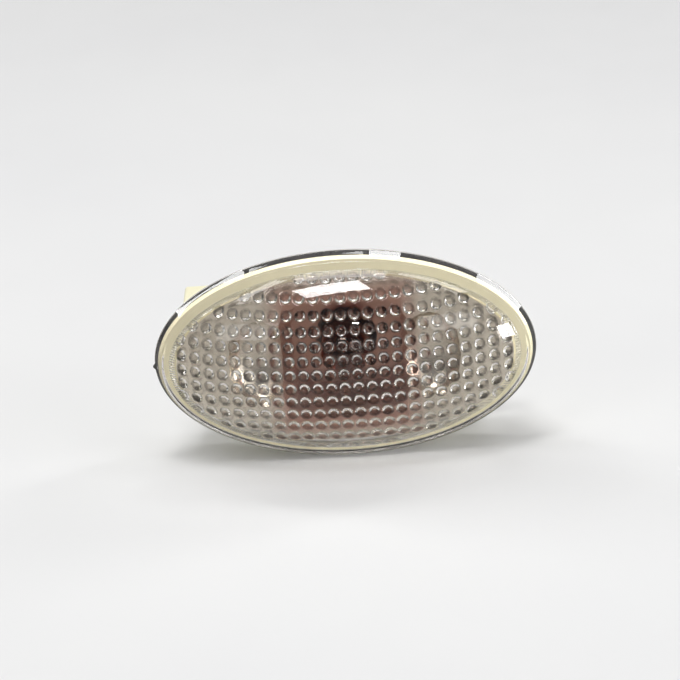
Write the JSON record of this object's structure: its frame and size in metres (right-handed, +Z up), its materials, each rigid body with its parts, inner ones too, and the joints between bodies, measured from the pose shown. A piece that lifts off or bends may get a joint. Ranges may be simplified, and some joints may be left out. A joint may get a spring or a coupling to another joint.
{
  "type": "vehicle side indicator lamp",
  "caption": "Oval side indicator lamp with a clear beaded dome lens, bright reflector, amber bulb and a housing that clips into a body panel.",
  "frame": {"origin": "centre of the panel opening, on the panel's outer face, where the gasket bears", "axes": "-Y the way the lens faces, +Y into the panel, +X to the right seen from the front, +Z up"},
  "size_m": [0.0785, 0.0498, 0.0446],
  "materials": {
    "clear_plastic": "clear moulded acrylic, polished",
    "cream_plastic": "moulded, satin",
    "bright_coating": "vacuum metallised",
    "foam_rubber": "closed-cell foam",
    "amber_glass": "amber coated glass",
    "filament_wire": "drawn tungsten",
    "lead_wire": "drawn wire",
    "dark_plastic": "moulded, satin",
    "seal_rubber": "soft rubber",
    "contact_brass": "stamped strip"
  },
  "bodies": {
    "lamp_body": {"lens": "clear_plastic", "housing": "cream_plastic", "reflector": "bright_coating", "panel_gasket": "foam_rubber"},
    "bulb_unit": {"bulb_holder": "dark_plastic", "holder_seal": "seal_rubber", "contact_left": "contact_brass", "contact_right": "contact_brass", "bulb_glass": "amber_glass", "bulb_filament": "filament_wire", "bulb_lead_left": "lead_wire", "bulb_lead_right": "lead_wire"}
  },
  "joints": [
    {"name": "holder_twist", "type": "hinge", "parent": "lamp_body", "child": "bulb_unit", "pos_m": [0, 0.0168, 0], "axis": [0, 1, 0], "range_deg": [0, 45]}
  ]
}
